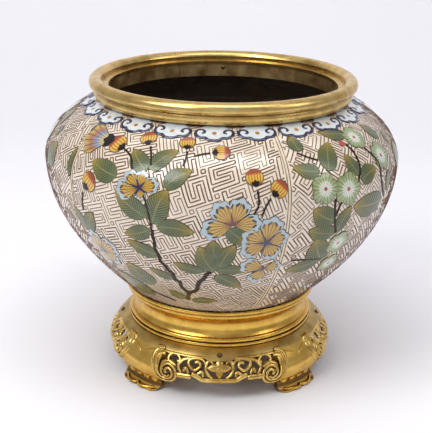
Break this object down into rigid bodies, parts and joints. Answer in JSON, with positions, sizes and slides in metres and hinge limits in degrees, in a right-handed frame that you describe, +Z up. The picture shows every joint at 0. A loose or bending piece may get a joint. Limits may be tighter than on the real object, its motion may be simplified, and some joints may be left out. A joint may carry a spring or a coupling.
{
  "type": "cloisonne cachepot",
  "caption": "Round, softly lobed enamelled vessel with a wide mouth, a gilt-bronze rim and socle, and a low bombe stand with pierced scroll aprons; holds a flower pot.",
  "frame": {"origin": "on the floor, under the axis of the vessel, at the level of the feet's soles", "axes": "+Z up along the vessel's axis, -Y towards the side shown in the picture, +X to that side's right"},
  "size_m": [0.2828, 0.2837, 0.2423],
  "materials": {
    "white_enamel": "fired and polished enamel",
    "dark_enamel": "dark counter-enamel, low gloss",
    "copper": "raised copper, left as hammered",
    "gilt_bronze": "gilt, satin to burnished, brown in the recesses",
    "aged_brass": "dull aged brass",
    "steel": "plain steel, darkened",
    "leather": "vegetable-tanned, undyed"
  },
  "bodies": {
    "root": {"enamel_coat": "white_enamel", "copper_body": "copper", "counter_enamel": "dark_enamel", "rim_moulding": "gilt_bronze", "inner_collar": "aged_brass", "collar_pins": "aged_brass", "socle": "gilt_bronze", "stand_deck": "gilt_bronze", "leg_front_right": "gilt_bronze", "leg_rear_right": "gilt_bronze", "leg_rear_left": "gilt_bronze", "leg_front_left": "gilt_bronze", "apron_front": "gilt_bronze", "apron_right": "gilt_bronze", "apron_rear": "gilt_bronze", "apron_left": "gilt_bronze", "apron_screws": "gilt_bronze", "leg_screws": "steel", "leather_gasket": "leather", "rod_washer": "aged_brass", "tie_rod": "steel", "clamp_bar": "steel", "nut_washer": "steel", "tie_nut": "steel"}
  },
  "joints": []
}
